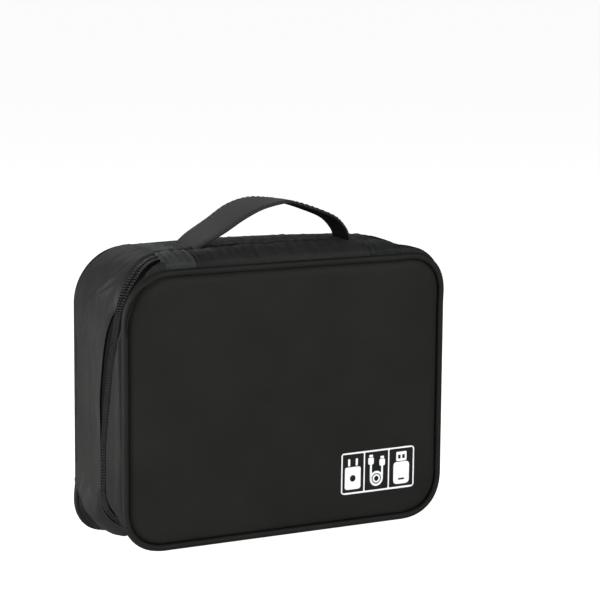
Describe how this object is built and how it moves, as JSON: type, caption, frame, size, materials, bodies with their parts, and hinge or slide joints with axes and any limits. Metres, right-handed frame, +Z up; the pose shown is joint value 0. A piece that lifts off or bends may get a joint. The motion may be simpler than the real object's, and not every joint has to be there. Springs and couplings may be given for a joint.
{
  "type": "cable organizer pouch",
  "caption": "Zipped semi-rigid travel pouch with a hinged lid, elastic loops, mesh pockets, movable padded dividers and a carry strap.",
  "frame": {"origin": "centre of the lower long side's face, on the plane it stands on, midway across the width and the depth", "axes": "+X to the right along the width seen from the lid, +Y from the lid to the back panel, +Z up to the strap"},
  "size_m": [0.2522, 0.0756, 0.2245],
  "materials": {
    "coated_fabric": "matt coated polyester",
    "nylon": "woven nylon with a light sheen",
    "black_trim": "woven tape and nylon coil",
    "foam": "closed-cell foam",
    "lining": "brushed loop fabric",
    "elastic": "knitted elastic and mesh",
    "binding": "woven binding tape",
    "webbing": "folded woven webbing",
    "metal": "black lacquered zinc",
    "print": "white heat-transfer film"
  },
  "bodies": {
    "base": {"base_back_panel": "coated_fabric", "base_back_foam": "foam", "base_piping": "coated_fabric", "base_wall": "nylon", "base_wall_foam": "foam", "base_wall_lining": "lining", "base_floor_lining": "lining", "base_zip_tape": "black_trim", "base_zip_coil": "black_trim", "hinge_lining": "lining", "spine_middle": "nylon", "spine_end_left": "nylon", "spine_end_right": "nylon"},
    "lid": {"lid_front_panel": "coated_fabric", "lid_foam": "foam", "lid_piping": "coated_fabric", "lid_gusset": "nylon", "spine_front": "nylon", "lid_zip_tape": "black_trim", "lid_zip_coil": "black_trim", "lid_lining": "lining", "lid_side_lining": "lining", "lid_binding": "binding", "cable_band": "elastic", "pocket_hem": "elastic", "mesh_pockets": "elastic", "column_tape_1": "binding", "column_tape_2": "binding", "column_tape_3": "binding", "column_tape_4": "binding", "front_label": "print"},
    "strap": {"carry_strap": "webbing", "strap_backing": "webbing"},
    "slider_a": {"slider_a": "metal", "slider_a_bridge": "metal"},
    "pull_a": {"pull_a": "metal"},
    "slider_b": {"slider_b": "metal", "slider_b_bridge": "metal"},
    "pull_b": {"pull_b": "metal"},
    "divider_left": {"divider_left": "lining", "divider_left_tab_bottom": "black_trim", "divider_left_tab_top": "black_trim"},
    "divider_right": {"divider_right": "lining", "divider_right_tab_bottom": "black_trim", "divider_right_tab_top": "black_trim"},
    "divider_cross": {"divider_cross": "lining", "divider_cross_tab_left": "black_trim", "divider_cross_tab_right": "black_trim"}
  },
  "joints": [
    {"name": "lid_hinge", "type": "hinge", "parent": "base", "child": "lid", "pos_m": [0, -0.018, 0.192], "axis": [-1, 0, 0], "range_deg": [0, 100]},
    {"name": "strap_swing", "type": "hinge", "parent": "base", "child": "strap", "pos_m": [0.002, 0, 0.192], "axis": [-1, 0, 0], "range_deg": [-33, 33], "stiffness_Nm_per_rad": 0.03},
    {"name": "slider_a_run", "type": "hinge", "parent": "lid", "child": "slider_a", "pos_m": [0.0865, -0.0216, 0.156], "axis": [0, 1, 0], "range_deg": [-24, 0]},
    {"name": "pull_a_flip", "type": "hinge", "parent": "slider_a", "child": "pull_a", "pos_m": [0.12191, -0.0216, 0.17483], "axis": [0, 1, 0], "range_deg": [0, 100]},
    {"name": "slider_b_run", "type": "hinge", "parent": "lid", "child": "slider_b", "pos_m": [0.0865, -0.0216, 0.156], "axis": [0, 1, 0], "range_deg": [0, 5]},
    {"name": "pull_b_flip", "type": "hinge", "parent": "slider_b", "child": "pull_b", "pos_m": [0.12638, -0.0216, 0.16019], "axis": [0, -1, 0], "range_deg": [0, 100]},
    {"name": "divider_left_slide", "type": "slide", "parent": "base", "child": "divider_left", "axis": [1, 0, 0], "range_m": [-0.028, 0]},
    {"name": "divider_right_slide", "type": "slide", "parent": "base", "child": "divider_right", "axis": [1, 0, 0], "range_m": [0, 0.028]},
    {"name": "divider_cross_slide", "type": "slide", "parent": "base", "child": "divider_cross", "axis": [0, 0, 1], "range_m": [-0.045, 0.045]}
  ]
}
